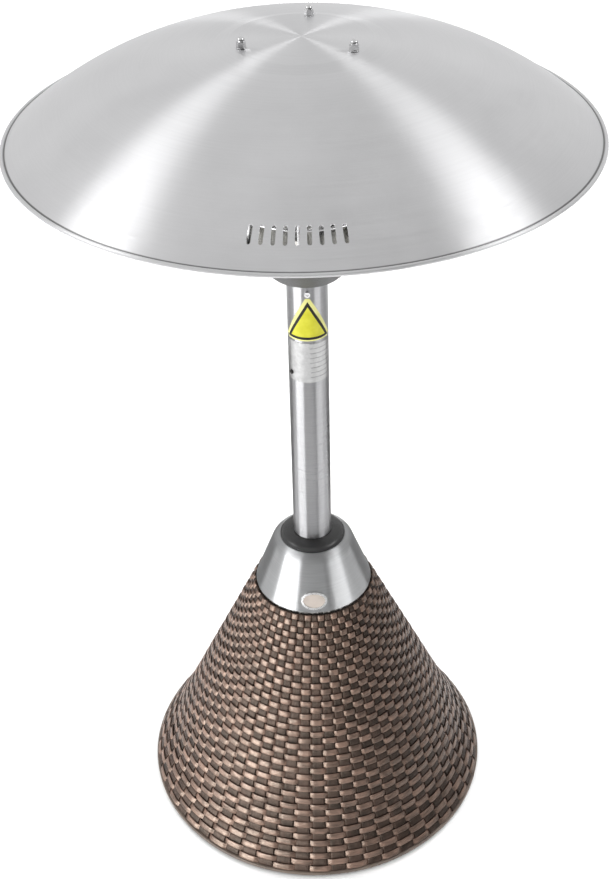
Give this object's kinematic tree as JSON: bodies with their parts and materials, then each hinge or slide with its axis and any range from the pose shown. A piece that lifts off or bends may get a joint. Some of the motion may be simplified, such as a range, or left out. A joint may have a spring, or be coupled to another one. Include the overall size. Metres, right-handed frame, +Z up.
{
  "type": "table-top patio heater",
  "caption": "Electric table-top patio heater: spun steel dome over guarded quartz lamps, steel post, steel cone and woven conical base.",
  "frame": {"origin": "on the table under the middle of the base", "axes": "+Z up along the post, -Y towards the front, where the oval badge is"},
  "size_m": [0.6, 0.6, 0.9962],
  "materials": {
    "spun_steel": "circular brushed satin stainless",
    "spun_steel_cone": "circular brushed satin stainless",
    "stainless_tube": "satin stainless, brushed round the tube",
    "grey_enamel": "dark grey heat-resistant paint",
    "polished_reflector": "polished",
    "plated_steel": "zinc plated",
    "bright_fastener": "bright plated",
    "dark_fastener": "blackened",
    "guard_wire": "plated wire",
    "quartz_glass": "clear quartz with a warm tint",
    "filament": "tungsten coil",
    "white_ceramic": "unglazed",
    "black_rubber": "matt",
    "lead_sleeve": "silicone and glass-fibre sleeve",
    "chrome_trim": "bright",
    "cream_enamel": "domed, blank",
    "yellow_vinyl": "printed vinyl",
    "silver_foil": "satin foil, blank",
    "woven_rattan": "flat synthetic rattan, mixed browns",
    "liner_plastic": "moulded",
    "edging_plastic": "moulded",
    "black_powder_coat": "fine textured powder coat",
    "ballast_iron": "sand cast",
    "black_plastic": "moulded",
    "rocker_plastic": "moulded, smooth",
    "plunger_nylon": "moulded nylon",
    "block_plastic": "moulded nylon",
    "brass": "bright"
  },
  "bodies": {
    "heater": {"acorn_nuts": "bright_fastener", "badge_insert": "cream_enamel", "badge_rim": "chrome_trim", "ballast_bolts": "bright_fastener", "ballast_weight": "ballast_iron", "base_edging": "edging_plastic", "base_plate": "black_powder_coat", "bracket_screws": "bright_fastener", "cable_gland": "black_plastic", "central_reflector": "polished_reflector", "collar_ring": "black_rubber", "dome_spacers": "bright_fastener", "dome_washers": "bright_fastener", "flange_screws": "bright_fastener", "foot_screws": "bright_fastener", "gland_nut": "black_plastic", "guard_bars": "guard_wire", "guard_hoops": "guard_wire", "head_bowl": "grey_enamel", "head_connector": "white_ceramic", "head_spigot": "plated_steel", "head_studs": "bright_fastener", "inner_shell": "liner_plastic", "lamp_end_caps": "white_ceramic", "lamp_filaments": "filament", "lamp_holders": "plated_steel", "lever_pin": "bright_fastener", "lower_lamp_plate": "plated_steel", "plate_standoffs": "plated_steel", "plunger_housing": "black_plastic", "post_flange": "plated_steel", "post_lead": "lead_sleeve", "post_rivet": "dark_fastener", "post_tube": "stainless_tube", "quartz_lamps": "quartz_glass", "rating_label": "silver_foil", "reflector_dome": "spun_steel", "rubber_feet": "black_rubber", "spigot_screws": "bright_fastener", "standoff_screws": "bright_fastener", "steel_cone": "spun_steel_cone", "stud_nuts": "bright_fastener", "stud_spacers": "bright_fastener", "switch_housing": "black_plastic", "switch_lead": "lead_sleeve", "switch_terminals": "brass", "terminal_block": "block_plastic", "terminal_screws": "brass", "tip_spring": "bright_fastener", "tip_switch_body": "black_plastic", "tip_switch_bracket": "plated_steel", "top_plate": "plated_steel", "upper_lamp_plate": "plated_steel", "wicker_cover": "woven_rattan", "yellow_label": "yellow_vinyl"},
    "rocker": {"switch_rocker": "rocker_plastic"},
    "plunger": {"tip_plunger": "plunger_nylon"},
    "lever": {"tip_switch_lever": "bright_fastener"}
  },
  "joints": [
    {"name": "rocker_tilt", "type": "hinge", "parent": "heater", "child": "rocker", "pos_m": [0, 0.0625, 0.32679], "axis": [1, 0, 0], "range_deg": [-20, 0]},
    {"name": "plunger_slide", "type": "slide", "parent": "heater", "child": "plunger", "axis": [0, 0, 1], "range_m": [-0.005, 0], "stiffness_N_per_m": 300, "springref_m": -0.012, "deforming": ["tip_spring"]},
    {"name": "lever_hinge", "type": "hinge", "parent": "heater", "child": "lever", "pos_m": [0.1425, 0, 0.035], "axis": [0, 1, 0], "range_deg": [0, 17]}
  ],
  "couplings": [
    {"joint": "lever_hinge", "follows": "plunger_slide", "rad_per_m": -58}
  ]
}
